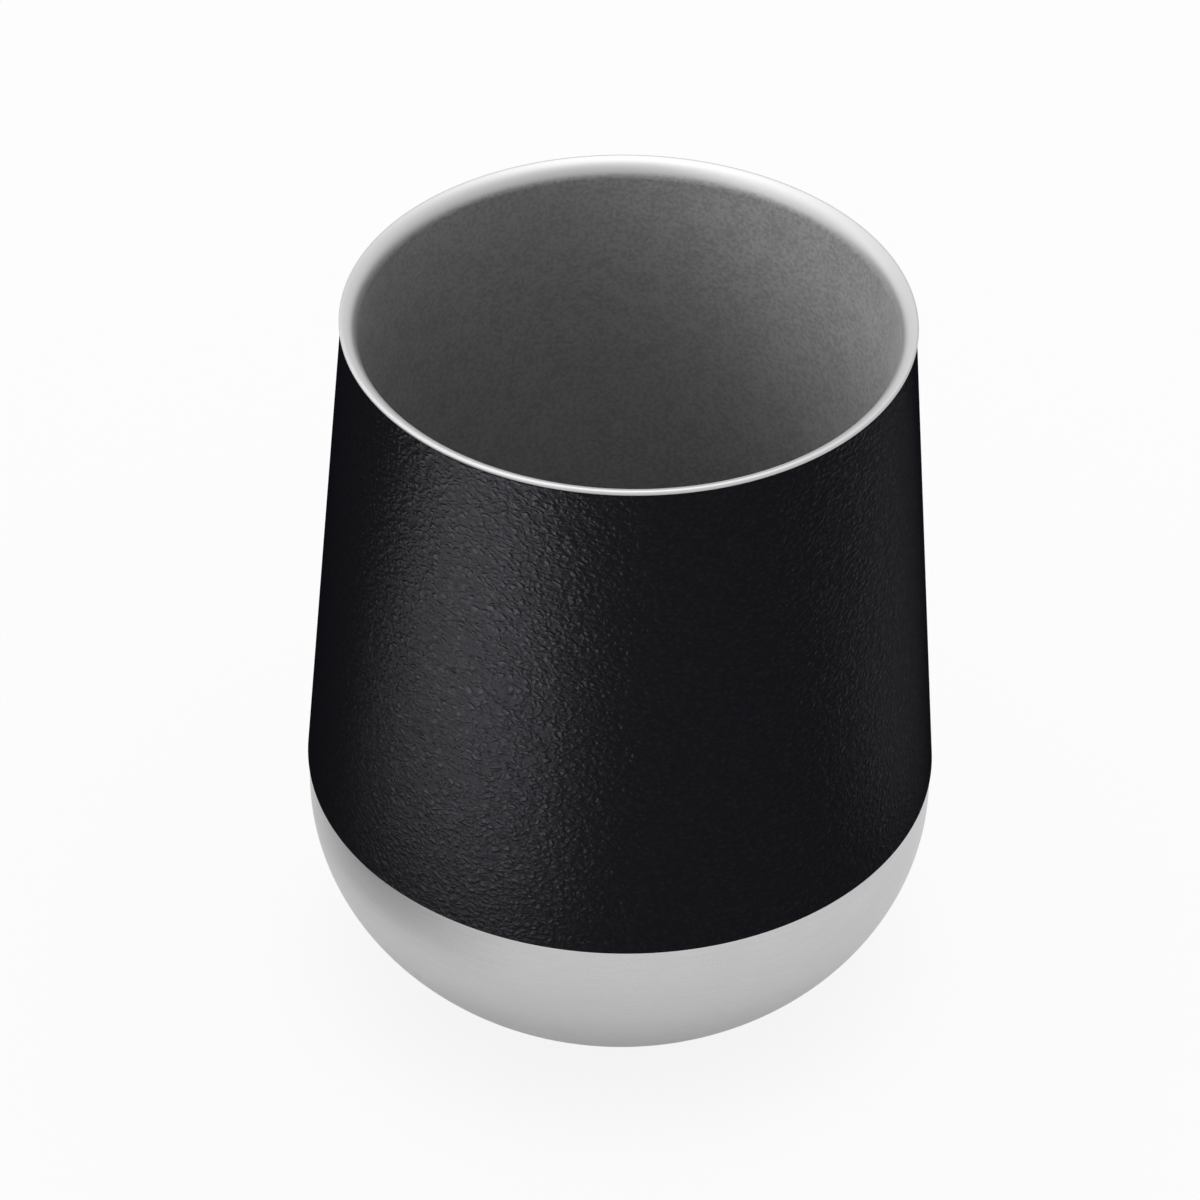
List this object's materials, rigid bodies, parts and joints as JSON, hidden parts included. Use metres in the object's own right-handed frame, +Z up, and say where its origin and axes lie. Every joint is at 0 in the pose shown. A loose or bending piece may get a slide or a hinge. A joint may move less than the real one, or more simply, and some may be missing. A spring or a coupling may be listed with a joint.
{
  "type": "insulated tumbler",
  "caption": "Stemless vacuum-insulated steel tumbler with a thin polished lip, an oval bowl-shaped bottom and a black leather wrap; keeps a drink hot or cold.",
  "frame": {"origin": "on the table, under the middle of the base", "axes": "+Z up along the axis of the cup; -Y faces the picture's camera; the wrap's butt seam is at +Y"},
  "size_m": [0.09, 0.09, 0.1115],
  "materials": {
    "liner_steel": "blasted satin inside, polished flare and lip",
    "shell_steel": "plain drawn steel, hidden under the wrap",
    "bowl_steel": "fine satin, brushed round the axis",
    "wrap_leather": "black, fine pebble grain, semi-matt",
    "adhesive_film": "clear double-sided film",
    "foil": "bright rolled foil",
    "getter_powder": "pressed metal powder",
    "clip_steel": "thin spring strip",
    "seal_glass": "melted sealing glass",
    "base_steel": "satin, spun rings"
  },
  "bodies": {
    "root": {"inner_cup": "liner_steel", "outer_body": "shell_steel", "outer_bowl": "bowl_steel", "leather_wrap": "wrap_leather", "wrap_adhesive": "adhesive_film", "radiation_foil": "foil", "getter_tablet": "getter_powder", "getter_clip": "clip_steel", "port_seal_bead": "seal_glass", "base_plate": "base_steel"}
  },
  "joints": []
}
